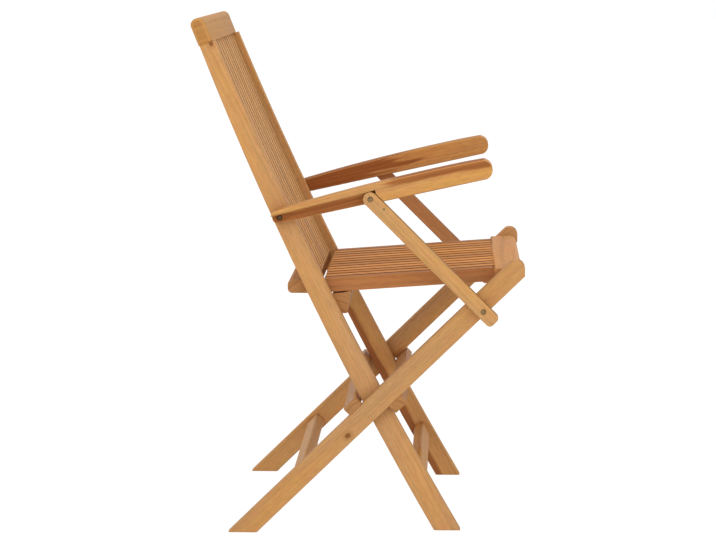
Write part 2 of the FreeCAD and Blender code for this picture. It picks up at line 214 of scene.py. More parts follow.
class Tree:
    """Adds nodes to a node tree, fills their inputs and links them in one step."""

    def __init__(self, tree):
        self.tree = tree
        self.column = 0

    def add(self, kind, inputs=None, **values):
        """A new node. Its own values, such as its mode, come first, since its inputs depend on them."""
        made = self.tree.nodes.new(kind)
        self.column += 1
        made.location = (180 * (self.column % 12), -220 * (self.column // 12))
        for name, value in values.items():
            setattr(made, name, value)
        for name, value in (inputs or {}).items():
            self.fill(made.inputs[name], value)
        return made

    def fill(self, entry, value):
        if isinstance(value, bpy.types.NodeSocket):
            self.tree.links.new(value, entry)
        else:
            entry.default_value = value

    def math(self, operation, a, b=0.0, clamp=False):
        return self.add("ShaderNodeMath", {0: a, 1: b}, operation=operation, use_clamp=clamp).outputs[0]

    def plus(self, a, b):
        return self.math("ADD", a, b)

    def minus(self, a, b):
        return self.math("SUBTRACT", a, b)

    def times(self, a, b):
        return self.math("MULTIPLY", a, b)

    def most(self, a, b):
        return self.math("MAXIMUM", a, b)

    def swing(self, mask, spread):
        """A mask of 0 to 1, turned into plus or minus half of the spread."""
        return self.times(self.minus(mask, 0.5), spread)

    def vector(self, operation, a, b=(0, 0, 0)):
        made = self.add("ShaderNodeVectorMath", {0: a, 1: b}, operation=operation)
        return made.outputs["Value" if operation == "LENGTH" else "Vector"]

    def combine(self, x=0.0, y=0.0, z=0.0):
        return self.add("ShaderNodeCombineXYZ", {"X": x, "Y": y, "Z": z}).outputs[0]

    def split(self, vector):
        return self.add("ShaderNodeSeparateXYZ", {0: vector}).outputs

    def ramp(self, value, low, high, to_low=0.0, to_high=1.0):
        made = self.add("ShaderNodeMapRange", {"Value": value, "From Min": low, "From Max": high,
                                               "To Min": to_low, "To Max": to_high},
                        interpolation_type="SMOOTHSTEP")
        return made.outputs["Result"]

    def fade(self, value, low, high):
        return self.ramp(value, low, high, 1.0, 0.0)

    def noise(self, place, scale, detail, rough, dimensions="3D"):
        made = self.add("ShaderNodeTexNoise", {"W" if dimensions == "1D" else "Vector": place, "Scale": scale,
                                               "Detail": detail, "Roughness": rough},
                        noise_dimensions=dimensions)
        return made.outputs["Fac"]

    def streaks(self, place, stretch, detail, rough):
        """Noise with this many features to a metre along each axis."""
        return self.noise(self.vector("MULTIPLY", place, stretch), 1.0, detail, rough)

    def mix(self, factor, a, b, blend="MIX"):
        made = self.add("ShaderNodeMix", {"Factor": factor}, data_type="RGBA", blend_type=blend)
        for entry, value in ((made.inputs[6], a), (made.inputs[7], b)):
            self.fill(entry, value if isinstance(value, bpy.types.NodeSocket) else opaque(value))
        return made.outputs[2]

    def tinted(self, **inputs):
        return self.add("ShaderNodeHueSaturation", inputs).outputs[0]

    def shared(self, name, make, inputs):
        """Outputs of a shared group, which is made where it is first used."""
        return self.add("ShaderNodeGroup", inputs, node_tree=group(name, make)).outputs

    def finished(self, results):
        """Links the results to the tree's own outputs."""
        out = self.add("NodeGroupOutput").inputs
        for name, value in results.items():
            self.tree.links.new(value, out[name])
        return self.tree


def new_tree(name, kind, inputs, outputs):
    """A node tree and its inputs' sockets. An input is given by its kind, or a number by its default."""
    tree = bpy.data.node_groups.new(name, kind)
    for made, given in inputs.items():
        if isinstance(given, str):
            tree.interface.new_socket(name=made, in_out="INPUT", socket_type="NodeSocket" + given)
        else:
            number = "NodeSocketInt" if isinstance(given, int) else "NodeSocketFloat"
            tree.interface.new_socket(name=made, in_out="INPUT", socket_type=number).default_value = given
    for made, given in outputs.items():
        tree.interface.new_socket(name=made, in_out="OUTPUT", socket_type="NodeSocket" + given)
    t = Tree(tree)
    return t, t.add("NodeGroupInput").outputs


def group(name, make):
    return bpy.data.node_groups.get(name) or make(name)


# Shader groups shared by the wood materials

def grain_group(name):
    """Teak figure along X: soft rings, short flecks, fibres, pores and slow drift, each about 0 to 1."""
    pith_below, pith_wander, taper, waves = 0.07, 0.045, 0.014, 0.03
    t, given = new_tree(name, "ShaderNodeTree", {"Board": "Vector", "Seed": 0.0, "Ring": 7 * MM},
                        dict.fromkeys(GRAIN, "Float"))
    seed = given["Seed"]
    place = t.vector("ADD", given["Board"], t.combine(t.times(seed, 1.37), t.times(seed, 0.61),
                                                      t.times(seed, 0.83)))
    split = t.split(given["Board"])
    bend = t.streaks(place, (1.8, 10.0, 10.0), 1.0, 0.4)
    pith_y = t.plus(split["Y"], t.times(t.math("SINE", t.times(seed, 2.4)), pith_wander))
    radius = t.vector("LENGTH", t.combine(0.0, pith_y, t.plus(split["Z"], pith_below)))
    wavy = t.plus(t.plus(radius, t.times(split["X"], taper)), t.times(bend, waves))
    count = t.plus(t.math("DIVIDE", wavy, given["Ring"]), t.times(seed, 17.3))
    return t.finished({
        "Rings": t.noise(count, 1.0, 2.0, 0.55, "1D"),
        "Flecks": t.streaks(place, (60.0, 330.0, 330.0), 2.0, 0.5),
        "Fibres": t.streaks(place, (14.0, 520.0, 520.0), 2.0, 0.6),
        "Pores": t.ramp(t.streaks(place, (70.0, 1300.0, 1300.0), 1.0, 0.5), 0.6, 0.74),
        "Warmth": t.streaks(place, (26.0, 150.0, 150.0), 2.0, 0.6),
        "Drift": t.streaks(place, (3.0, 22.0, 22.0), 2.0, 0.5)})


def band_group(name):
    """A band of heartwood along one edge of a board, its border wavering with the grain."""
    t, given = new_tree(name, "ShaderNodeTree", {
        "Board": "Vector", "Level": 0.0, "Slope": 0.0, "Start": -1.0, "End": 1.0, "Softness": 3 * MM,
        "Fade": 0.03, "Waver": 0.01, "Streaks": 0.1}, {"Band": "Float"})
    split = t.split(given["Board"])
    waver = t.streaks(given["Board"], (14.0, 90.0, 90.0), 3.0, 0.6)
    fine = t.streaks(given["Board"], (5.0, 130.0, 130.0), 2.0, 0.6)
    border = t.plus(given["Level"], t.times(split["X"], given["Slope"]))
    above = t.plus(t.minus(split["Z"], border), t.swing(waver, given["Waver"]))
    edge = t.ramp(above, t.times(given["Softness"], -1.0), given["Softness"])
    along = t.plus(split["X"], t.swing(fine, given["Streaks"]))
    begin = t.ramp(along, t.minus(given["Start"], given["Fade"]), given["Start"])
    stop = t.fade(along, given["End"], t.plus(given["End"], given["Fade"]))
    return t.finished({"Band": t.times(edge, t.times(begin, stop))})


def knot_group(name):
    """One round spot with a dark heart and a paler halo, which pushes the grain aside.
    On the posts and legs it makes knots, and on an armrest painted shade round the pivot.
    """
    t, given = new_tree(name, "ShaderNodeTree", {"Board": "Vector", "Centre": "Vector", "Size": 8 * MM},
                        {"Knot": "Float", "Moved": "Vector"})
    away = t.vector("SUBTRACT", given["Board"], given["Centre"])
    wobble = t.streaks(away, (170.0, 170.0, 170.0), 2.0, 0.5)
    reach = t.vector("LENGTH", t.vector("MULTIPLY", away, (0.82, 1.0, 1.0)))
    radii = t.math("DIVIDE", t.plus(reach, t.swing(wobble, 3 * MM)), given["Size"])
    heart = t.ramp(radii, 0.5, 0.95, 0.8, 0.0)
    halo = t.ramp(radii, 0.8, 2.0, 0.22, 0.0)
    push = t.times(t.fade(radii, 0.3, 3.5), t.math("SIGN", t.split(away)["Z"]))
    shove = t.combine(z=t.times(push, -4 * MM))
    return t.finished({"Knot": t.most(heart, halo), "Moved": t.vector("ADD", given["Board"], shove)})


def wear_and_shade_group(name):
    """Masks from the way a face looks: edges, lightened by rubbing and by a painted highlight, end grain,
    and the faces between slats and the top faces, both for painted shade.
    """
    masks = ("Edges", "End Grain", "Gap Faces", "Upper Face")
    t, given = new_tree(name, "ShaderNodeTree", {"Facing": "Vector"}, dict.fromkeys(masks, "Float"))
    straight = t.vector("NORMALIZE", given["Facing"])
    split = t.split(t.vector("ABSOLUTE", straight))
    flat = t.most(split["X"], t.most(split["Y"], split["Z"]))
    return t.finished({
        # Edges lightened by rubbing and by a painted highlight of the rounded edges
        "Edges": t.fade(flat, 0.82, 0.97),
        "End Grain": t.ramp(split["X"], 0.74, 0.92),
        # Faces between slats: the colour group paints shade on them
        "Gap Faces": t.ramp(split["Y"], 0.4, 0.62),
        # Top faces: the colour group paints shade on a brace's top faces
        "Upper Face": t.ramp(t.split(straight)["Z"], 0.5, 0.85)})


def colour_group(name):
    """Turns the masks of the teak figure into colour, roughness and height."""
    t, given = new_tree(name, "ShaderNodeTree", {
        "Tone": "Color", "Rings": 0.5, "Flecks": 0.5, "Fibres": 0.5, "Pores": 0.0, "Warmth": 0.5,
        "Drift": 0.5, "End Grain": 0.0, "Edges": 0.0, "Heart": 0.0, "Dark Spots": 0.0, "Shade": 0.0,
        "Wear": 0.3, "Contrast": 1.0, "Heartwood": 0.3, "Roughness": 0.5},
        {"Colour": "Color", "Roughness": "Float", "Height": "Float"})

    def swing(mask, spread):
        return t.swing(given[mask], spread)

    def stained(red, green, blue):
        return t.mix(1.0, given["Tone"], (red, green, blue), "MULTIPLY")

    bright = t.plus(swing("Rings", 0.42), swing("Flecks", 0.34))
    bright = t.plus(bright, t.plus(swing("Fibres", 0.26), swing("Drift", 0.3)))
    colour = t.tinted(Hue=t.plus(0.5, swing("Warmth", 0.025)), Saturation=t.plus(1.0, swing("Drift", 0.2)),
                      Value=t.plus(1.0, t.times(bright, given["Contrast"])), Color=given["Tone"])
    limit = t.minus(0.72, t.times(given["Heartwood"], 0.25))
    streaks = t.times(t.math("MULTIPLY", t.minus(given["Rings"], limit), 6.0, clamp=True), 0.5)
    grained = t.plus(1.0, t.plus(swing("Fibres", 0.7), swing("Rings", 0.6)))
    red_brown = t.tinted(Value=grained, Color=stained(0.60, 0.42, 0.36))
    # Heartwood, and inside an armrest's recess also painted shade under the lip
    colour = t.mix(t.most(streaks, given["Heart"]), colour, red_brown)
    colour = t.mix(t.times(given["Pores"], 0.3), colour, stained(0.45, 0.34, 0.28))
    ends = t.mix(t.ramp(given["Rings"], 0.38, 0.6), stained(0.68, 0.60, 0.52), stained(0.88, 0.84, 0.80))
    colour = t.mix(t.times(given["End Grain"], 0.7), colour, ends)
    # Edges lightened by rubbing and by a painted highlight
    colour = t.mix(t.times(given["Edges"], given["Wear"]), colour, stained(1.16, 1.17, 1.2))
    # Knots go darker, and so does the painted shade round an armrest's pivot
    colour = t.mix(given["Dark Spots"], colour, stained(0.32, 0.17, 0.11))
    # Painted shade: faces between slats and a brace's top faces turn almost black
    colour = t.mix(given["Shade"], colour, stained(0.10, 0.06, 0.04))
    rough = t.plus(given["Roughness"], swing("Fibres", 0.2))
    rough = t.plus(rough, t.times(given["End Grain"], 0.14))
    rough = t.minus(rough, t.times(given["Edges"], 0.06))
    height = t.minus(t.times(given["Fibres"], 0.5), t.times(given["Pores"], 0.7))
    return t.finished({"Colour": colour, "Roughness": rough, "Height": height})


# Materials

def new_material(name, colour=(0.8, 0.8, 0.8)):
    """An empty material and the builder of its nodes."""
    material = bpy.data.materials.new(name)
    material.use_nodes = True
    material.diffuse_color = opaque(colour)
    material.node_tree.nodes.clear()
    return material, Tree(material.node_tree)


def teak(name, colour, turn, seed, centre, contrast=1.0, knot=None, band=None, core=None, gap_shade=None,
         upper=0.0, worn=0.3, shine=0.07):
    """Oiled teak. turn lays the board's length along X, and centre is the board's middle.

    band holds inputs of the heartwood group, and the recess mask bounds the heartwood inside an armrest's
    recess, where it also stands for painted shade under the lip. The faces between slats get painted shade,
    and the slats then differ in tone; the top faces, as on the braces, can get painted shade too. A round
    dark spot makes the knots of posts and legs, and painted shade round an armrest's pivot. The edges are
    lightened by rubbing and by a painted highlight.
    """
    figure = settings().figure
    material, t = new_material(name, colour)
    place = t.add("ShaderNodeTexCoord").outputs
    moved = t.vector("SUBTRACT", place["Object"], tuple(centre))
    straight = t.add("ShaderNodeMapping", {"Vector": moved, "Rotation": turn}).outputs[0]
    facing = t.add("ShaderNodeMapping", {"Vector": place["Normal"], "Rotation": turn}, vector_type="VECTOR")
    wear_and_shade = t.shared("teak wear", wear_and_shade_group, {"Facing": facing.outputs[0]})
    inputs = {"End Grain": wear_and_shade["End Grain"], "Edges": wear_and_shade["Edges"], "Wear": worn,
              "Contrast": figure.contrast * contrast, "Heartwood": figure.heartwood,
              "Roughness": figure.roughness}
    board = straight
    # A round dark spot: knots, and painted shade round an armrest's pivot
    if knot:
        spot = Euler(turn).to_matrix() @ (Vector(knot[0]) - Vector(centre))
        made = t.shared("teak knot", knot_group, {"Board": straight, "Centre": spot, "Size": knot[1]})
        board = made["Moved"]
        inputs["Dark Spots"] = made["Knot"]
    heart_and_shade = []
    if band:
        heart_and_shade.append(t.shared("teak heartwood band", band_group, {"Board": straight, **band})["Band"])
    # Inside an armrest's recess: heartwood, and painted shade under the lip
    if core:
        split = t.split(straight)
        inside = t.times(t.fade(t.math("ABSOLUTE", split["Y"]), core["depth"], core["depth"] + 4 * MM),
                         t.fade(split["Z"], core["level"], core["level"] + 4 * MM))
        heart_and_shade.append(t.times(inside, t.fade(split["X"], core["end"], core["end"] + 10 * MM)))
    if heart_and_shade:
        inputs["Heart"] = t.most(heart_and_shade[0], heart_and_shade[-1])
    if gap_shade is None:
        inputs["Tone"] = opaque(colour)
        # Painted shade on the top faces, used on the braces
        inputs["Shade"] = t.times(wear_and_shade["Upper Face"], upper)
    else:
        chance = t.add("ShaderNodeAttribute", attribute_name="board").outputs["Fac"]
        seed = t.plus(t.times(chance, 37.0), seed)
        inputs["Tone"] = t.tinted(Value=t.ramp(chance, 0.0, 1.0, 0.86, 1.1), Color=opaque(colour))
        # Painted shade on the faces between slats
        inputs["Shade"] = t.times(wear_and_shade["Gap Faces"], gap_shade)
    grain = t.shared("teak grain", grain_group, {"Board": board, "Seed": seed, "Ring": figure.ring})
    inputs.update({mask: grain[mask] for mask in GRAIN})
    look = t.shared("teak colour", colour_group, inputs)
    bump = t.add("ShaderNodeBump", {"Strength": 0.3, "Distance": 0.3 * MM, "Height": look["Height"]})
    shader = t.add("ShaderNodeBsdfPrincipled", {"Base Color": look["Colour"], "Roughness": look["Roughness"],
                                                "Normal": bump.outputs[0]})
    shader.inputs["Specular IOR Level"].default_value = shine
    t.add("ShaderNodeOutputMaterial", {"Surface": shader.outputs[0]})
    return material


def metal(name, colour, roughness):
    """Plain metal with fine turning marks and a little dulling."""
    dulled = [c * 0.62 for c in colour]
    material, t = new_material(name, colour)
    place = t.add("ShaderNodeTexCoord").outputs["Object"]
    fine = t.noise(place, 900.0, 3.0, 0.6)
    cloud = t.noise(place, 180.0, 2.0, 0.5)
    bump = t.add("ShaderNodeBump", {"Strength": 0.2, "Distance": 0.1 * MM, "Height": fine})
    shader = t.add("ShaderNodeBsdfPrincipled", {"Base Color": t.mix(t.ramp(cloud, 0.35, 0.7), colour, dulled),
                                                "Roughness": t.plus(roughness, t.swing(fine, 0.3)),
                                                "Normal": bump.outputs[0]})
    shader.inputs["Metallic"].default_value = 1.0
    t.add("ShaderNodeOutputMaterial", {"Surface": shader.outputs[0]})
    return material


# Directions in side view

def turned(slope):
    """The turn that lays a board along X, from its slope in side view in degrees."""
    return (0.0, math.radians(slope), 0.0)


def side_axes(slope):
    """Directions along and square to a board with this slope in side view."""
    way = Vector((math.cos(math.radians(slope)), 0, math.sin(math.radians(slope))))
    return way, Vector((-way.z, 0, way.x))


# Softened copies of the CAD boards

def merged_copy(node):
    """Copy of a CAD board's mesh with its triangles merged back to whole faces."""
    mesh = nodes[node].data.copy()
    mesh.name = node + "_softened"
    mesh.materials.clear()
    work = bmesh.new()
    work.from_mesh(mesh)
    bmesh.ops.remove_doubles(work, verts=work.verts, dist=1e-5)
    bmesh.ops.dissolve_limit(work, angle_limit=math.radians(0.4), verts=work.verts, edges=work.edges)
    bmesh.ops.recalc_face_normals(work, faces=work.faces)
    work.to_mesh(mesh)
    work.free()
    for attribute in ("custom_normal", "sharp_face"):
        if attribute in mesh.attributes:
            mesh.attributes.remove(mesh.attributes[attribute])
    return mesh


def mark_edges(mesh, sharpest):
    """Gives a bevel weight to the sharp outer edges, apart from the short ones of curves and hole rims."""
    work = bmesh.new()
    work.from_mesh(mesh)
    layer = work.edges.layers.float.new("bevel_weight_edge")
    for edge in work.edges:
        if len(edge.link_faces) != 2 or not edge.is_convex:
            continue
        if edge.calc_face_angle(0.0) > math.radians(sharpest) and edge.calc_length() > SHORTEST_EDGE:
            edge[layer] = 1.0
    work.to_mesh(mesh)
    work.free()


def plain_mesh(piece):
    """Works the piece's modifiers into its mesh and takes them away."""
    bpy.context.view_layer.update()
    graph = bpy.context.evaluated_depsgraph_get()
    mesh = bpy.data.meshes.new_from_object(piece.evaluated_get(graph), preserve_all_data_layers=True,
                                           depsgraph=graph)
    mesh.name = piece.name
    piece.modifiers.clear()
    piece.data = mesh


def smoothed(mesh):
    for face in mesh.polygons:
        face.use_smooth = True


def new_object(name, data):
    made = bpy.data.objects.new(name, data)
    bpy.context.scene.collection.objects.link(made)
    return made


def narrowed(mesh, point, wide, narrow):
    """Narrows the sunk hole around an axis across the chair, from one radius to another."""
    for vertex in mesh.vertices:
        away = Vector((vertex.co.x - point.x, 0, vertex.co.z - point.z))
        if abs(away.length - wide) < 0.4 * MM:
            vertex.co += away * (narrow / away.length - 1)


def widened_behind(mesh, slope, reach):
    """Moves the faces that look to the rear back by this much, down a slope."""
    way = side_axes(slope)[0]
    behind = [vertex for vertex in mesh.vertices if vertex.normal.x < 0]
    for vertex in behind:
        vertex.co -= way * reach


def rounded_nose(mesh, slope, radius, ease):
    """Gives the front end of an armrest one full curve, and keeps the eased edge round its sides."""
    way, up = side_axes(slope)
    work = bmesh.new()
    work.from_mesh(mesh)
    tip = max(vertex.co.dot(way) for vertex in work.verts)
    faces = min(vertex.co.y for vertex in work.verts), max(vertex.co.y for vertex in work.verts)

    def inset(vertex):
        return ease if min(abs(vertex.co.y - face) for face in faces) < 0.2 * MM else 0.0

    ends = [vertex for vertex in work.verts if vertex.co.dot(way) > tip - inset(vertex) - 0.3 * MM]
    heights = [vertex.co.dot(up) for vertex in ends]
    height = (min(heights) + max(heights)) / 2
    flat = [edge for edge in work.edges if all(vertex in ends for vertex in edge.verts)
            and abs((edge.verts[0].co - edge.verts[1].co).dot(up)) > 4 * MM]
    bmesh.ops.subdivide_edges(work, edges=flat, cuts=3, use_grid_fill=True)
    for vertex in work.verts:
        out = Vector((vertex.co.dot(way) - tip + radius, vertex.co.dot(up) - height))
        limit = radius - inset(vertex)
        if out.x > 0 and out.length > limit:
            move = out * (limit / out.length - 1)
            vertex.co += way * move.x + up * move.y
    work.to_mesh(mesh)
    work.free()


def middle(node):
    low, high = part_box(node)
    return (low + high) / 2


def board(node, body, slot, colour, turn, seed, width, mesh=None, sharpest=BOARD_ANGLE, **look):
    """A CAD board in its own teak with its edges softened, standing for that board."""
    piece = new_object(node + "_softened", mesh or merged_copy(node))
    mark_edges(piece.data, sharpest)
    smoothed(piece.data)
    bevel = piece.modifiers.new("softened edges", "BEVEL")
    bevel.width = width
    bevel.segments = 3
    bevel.limit_method = "WEIGHT"
    bevel.use_clamp_overlap = False
    bevel.miter_outer = "MITER_SHARP"
    smooth = piece.modifiers.new("even shading", "WEIGHTED_NORMAL")
    smooth.keep_sharp = True
    smooth.weight = 100
    plain_mesh(piece)
    piece.data.materials.append(teak(node + "_teak", colour, turn, seed, middle(node), **look))
    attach(piece, body)
    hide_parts(node)


def head_place(bolt, side):
    """Where the axis of one side's bolt meets the seat of its head, and the way that the head faces."""
    low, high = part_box(bolt)
    way = OUTWARD[side]
    outer = high.y if side == "left" else low.y
    centre = (low + high) / 2
    return Vector((centre.x, outer - way * BOLT_HEAD, centre.z)), Vector((0, way, 0))


def leg_lean():
    """Slope of the rear legs, from the crossing pins to the seat's hinge."""
    way = middle("seat_hinge_pins") - middle("crossing_pins")
    return math.degrees(math.atan2(way.z, way.x))


def post_lean():
    """Slope of the posts, from foot to top."""
    low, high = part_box("right_post")
    return math.degrees(math.atan2(high.z - low.z, low.x - high.x))


# Frame boards, armrests and braces

class ARMCHAIR_OT_back_frame(Operator):
    """Softens and finishes the posts and the rails between them"""
    bl_idname = "armchair.back_frame"
    bl_label = "Back frame"

    def execute(self, context):
        s = settings()
        width = s.edges.softened
        for number, side in enumerate(SIDES):
            look = {"band": POST_BAND} if side == "left" else {"knot": POST_KNOT}
            board(side + "_post", "back_frame", "post_teak", s.tones.post, turned(post_lean()),
                  3.1 + 5 * number, width, **look)
        support = merged_copy("seat_support_rail")
        widened_behind(support, SUPPORT_SLOPE, SUPPORT_REACH)
        for node, slot, colour, seed, mesh in (
                ("top_rail", "rail_teak", s.tones.rail, 11.7, None),
                ("back_bottom_rail", "rail_teak", s.tones.batten, 23.9, None),
                ("seat_support_rail", "rail_teak", s.tones.batten, 31.3, support),
                ("front_stretcher", "leg_teak", s.tones.rail, 41.8, None)):
            board(node, "back_frame", slot, colour, ACROSS, seed, width, mesh)
        return {"FINISHED"}


class ARMCHAIR_OT_leg_frame(Operator):
    """Softens and finishes the rear legs, their stretcher and the stop battens"""
    bl_idname = "armchair.leg_frame"
    bl_label = "Rear leg frame"

    def execute(self, context):
        s = settings()
        width = s.edges.softened
        for number, side in enumerate(SIDES):
            board(side + "_rear_leg", "rear_leg_frame", "leg_teak", s.tones.leg, turned(leg_lean()),
                  7.4 + 6 * number, width, knot=LEG_KNOT if side == "right" else None)
        for node, slot, colour, seed in (("rear_stretcher", "leg_teak", s.tones.leg, 52.0),
                                         ("upper_stop_batten", "batten_teak", s.tones.batten, 61.0),
                                         ("lower_stop_batten", "batten_teak", s.tones.batten, 67.0)):
            board(node, "rear_leg_frame", slot, colour, ACROSS, seed, width)
        return {"FINISHED"}


class ARMCHAIR_OT_seat_frame(Operator):
    """Softens and finishes the seat's rails and battens"""
    bl_idname = "armchair.seat_frame"
    bl_label = "Seat frame"

    def execute(self, context):
        s = settings()
        along = turned(SEAT_SLOPE)
        for node, slot, colour, turn, seed in (
                ("seat_front_rail", "rail_teak", s.tones.seat, ACROSS, 71.0),
                ("right_seat_rail", "rail_teak", s.tones.seat_rail, along, 77.0),
                ("left_seat_rail", "rail_teak", s.tones.seat_rail, along, 82.0),
                ("seat_front_batten", "batten_teak", s.tones.batten, ACROSS, 83.0),
                ("seat_rear_batten", "batten_teak", s.tones.batten, ACROSS, 89.0)):
            board(node, "seat", slot, colour, turn, seed, s.edges.softened)
        return {"FINISHED"}


class ARMCHAIR_OT_armrests(Operator):
    """Softens and finishes the armrests and their braces"""
    bl_idname = "armchair.armrests"
    bl_label = "Armrests and braces"

    def execute(self, context):
        s = settings()
        hole = s.fittings.bolt / 2 + s.fittings.sunk
        colours = ((s.tones.arm, s.tones.brace), (s.tones.left_arm, s.tones.left_brace))
        for number, side in enumerate(SIDES):
            arm_colour, brace_colour = colours[number]
            node = side + "_armrest"
            pivot = head_place("armrest_pivot_bolts", side)[0]
            mesh = merged_copy(node)
            rounded_nose(mesh, ARM_SLOPE, NOSE_RADIUS, ARM_EASE)
            narrowed(mesh, pivot, ARM_HOLE, hole)
            # Inside the recess: heartwood, and painted shade under the lip
            # Painted shade round the pivot, under the lip
            # The armrest's edges are lightened more, by rubbing and by a painted highlight
            board(node, node, "armrest_teak", arm_colour, turned(ARM_SLOPE), 91.0 + 7 * number, s.edges.arm,
                  mesh, ARM_ANGLE, contrast=1.1, knot=(pivot, PIVOT_SHADE), band=ARM_BANDS[side],
                  core=ARM_RECESS_HEART_AND_SHADE, worn=0.8)
            node = side + "_arm_brace"
            mesh = merged_copy(node)
            for bolt in (side + "_brace_top_bolt", side + "_brace_foot_bolt"):
                narrowed(mesh, head_place(bolt, side)[0], BRACE_HOLE, hole)
            # The brace's top faces get painted shade
            board(node, side + "_brace", "brace_teak", brace_colour, turned(BRACE_SLOPE),
                  103.0 + 6 * number, s.edges.softened, mesh, upper=0.4)
        return {"FINISHED"}


# Slats by Geometry Nodes

def slat_tree(name):
    """A row of boards: a rounded rectangle swept along a curve, then repeated across the chair."""
    t, given = new_tree(name, "GeometryNodeTree", {
        "Start": "Vector", "Middle": "Vector", "End": "Vector", "Width": 26 * MM, "Thickness": 12 * MM,
        "Edge Radius": 2 * MM, "First": 0.0, "Step": 30 * MM, "Count": 11, "Seed": 1,
        "Wood": "Material"}, {"Slats": "Geometry"})
    line = t.add("GeometryNodeCurveQuadraticBezier", {"Start": given["Start"], "Middle": given["Middle"],
                                                      "End": given["End"], "Resolution": 24})
    level = t.add("GeometryNodeSetCurveNormal", {"Curve": line.outputs[0]}, mode="Z_UP")
    profile = t.add("GeometryNodeCurvePrimitiveQuadrilateral", {"Width": given["Width"],
                                                                "Height": given["Thickness"]})
    rounded = t.add("GeometryNodeFilletCurve", {"Curve": profile.outputs[0], "Radius": given["Edge Radius"],
                                                "Count": 3, "Limit Radius": True}, mode="POLY")
    slat = t.add("GeometryNodeCurveToMesh", {"Curve": level.outputs[0], "Profile Curve": rounded.outputs[0],
                                             "Fill Caps": True})
    row = t.add("GeometryNodeMeshLine", {"Count": given["Count"],
                                         "Start Location": t.combine(y=given["First"]),
                                         "Offset": t.combine(y=given["Step"])})
    placed = t.add("GeometryNodeInstanceOnPoints", {"Points": row.outputs[0], "Instance": slat.outputs[0]})
    chance = t.add("FunctionNodeRandomValue", {"Seed": given["Seed"]}, data_type="FLOAT")
    named = t.add("GeometryNodeStoreNamedAttribute", {"Geometry": placed.outputs[0], "Name": "board",
                                                      "Value": chance.outputs[1]},
                  data_type="FLOAT", domain="INSTANCE")
    real = t.add("GeometryNodeRealizeInstances", {"Geometry": named.outputs[0]})
    wood = t.add("GeometryNodeSetMaterial", {"Geometry": real.outputs[0], "Material": given["Wood"]})
    return t.finished({"Slats": wood.outputs[0]})


def grown(name, tree, values, mesh=None):
    """New piece made by a Geometry Nodes tree from its named inputs, as a plain mesh."""
    piece = new_object(name, mesh or bpy.data.meshes.new(name))
    modifier = piece.modifiers.new("grown", "NODES")
    modifier.node_group = tree
    for item in tree.interface.items_tree:
        if item.item_type == "SOCKET" and item.in_out == "INPUT" and item.name in values:
            modifier[item.identifier] = values[item.name]
    plain_mesh(piece)
    if not piece.data.polygons:
        raise RuntimeError(name + " came out empty")
    smoothed(piece.data)
    piece.data.set_sharp_from_angle(angle=math.radians(CRISP_ANGLE))
    return piece


def side_points(node):
    """The node's outline in side view, lowest first, as (x, z)."""
    return sorted({(round(v.co.x, 5), round(v.co.z, 5)) for v in nodes[node].data.vertices},
                  key=lambda point: (point[1], point[0]))


def curved_line(node, thick):
    """Bezier points of a back slat's middle line, its foot let into the rail by its slanting end."""
    points = side_points(node)
    line = [Vector(((a[0] + b[0]) / 2, 0, (a[1] + b[1]) / 2)) for a, b in zip(points[::2], points[1::2])]
    start, centre, end = line[0], line[len(line) // 2], line[-1]
    way = (start - line[1]).normalized()
    start = start + way * thick * abs(way.x) / 2
    return start, centre * 2 - (start + end) / 2, end


def straight_line(node, slope):
    """Bezier points of a straight slat's middle line, and the slat's thickness."""
    way, up = side_axes(slope)
    points = [Vector((x, 0, z)) for x, z in side_points(node)]
    along = [p.dot(way) for p in points]
    above = [p.dot(up) for p in points]
    height = up * (min(above) + max(above)) / 2
    start, end = way * max(along) + height, way * min(along) + height
    return (start, (start + end) / 2, end), max(above) - min(above)


def row_places(names):
    """Width of the boards in a row across the chair, middle of the first and the step to the next."""
    low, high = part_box(names[0])
    last_low, last_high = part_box(names[-1])
    first = (low.y + high.y) / 2
    return high.y - low.y, first, ((last_low.y + last_high.y) / 2 - first) / (len(names) - 1)


def slat_row(name, body, names, line, thick, colour, turn, wood_seed, seed, gap_shade):
    """Grows a row of slats in place of the CAD ones."""
    width, first, step = row_places(names)
    slot = name[:-1] + "_teak"
    wood = teak(slot, colour, turn, wood_seed, (line[0] + line[2]) / 2, gap_shade=gap_shade, shine=0.02)
    piece = grown(name, group("row of slats", slat_tree), {
        "Start": line[0], "Middle": line[1], "End": line[2], "Width": width, "Thickness": thick,
        "Edge Radius": settings().edges.slat, "First": first, "Step": step, "Count": len(names),
        "Seed": seed, "Wood": wood})
    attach(piece, body)
    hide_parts(*names)


class ARMCHAIR_OT_back_slats(Operator):
    """Grows the curved back slats between the bottom rail and the top rail"""
    bl_idname = "armchair.back_slats"
    bl_label = "Back slats"

    def execute(self, context):
        line = curved_line(BACK_SLATS[0], BACK_SLAT_THICK)
        # The last number is the strength of the painted shade between the slats
        slat_row("back_slats", "back_frame", BACK_SLATS, line, BACK_SLAT_THICK, settings().tones.back_slat,
                 turned(post_lean()), 131.0, 5, 0.8)
        return {"FINISHED"}


class ARMCHAIR_OT_seat_slats(Operator):
    """Grows the straight seat slats from the front rail to the rear of the seat"""
    bl_idname = "armchair.seat_slats"
    bl_label = "Seat slats"

    def execute(self, context):
        line, thick = straight_line(SEAT_SLATS[0], SEAT_SLOPE)
        # The last number is the strength of the painted shade between the slats
        slat_row("seat_slats", "seat", SEAT_SLATS, line, thick, settings().tones.seat_slat,
                 turned(SEAT_SLOPE), 171.0, 9, 1.0)
        return {"FINISHED"}


# Fittings by Geometry Nodes

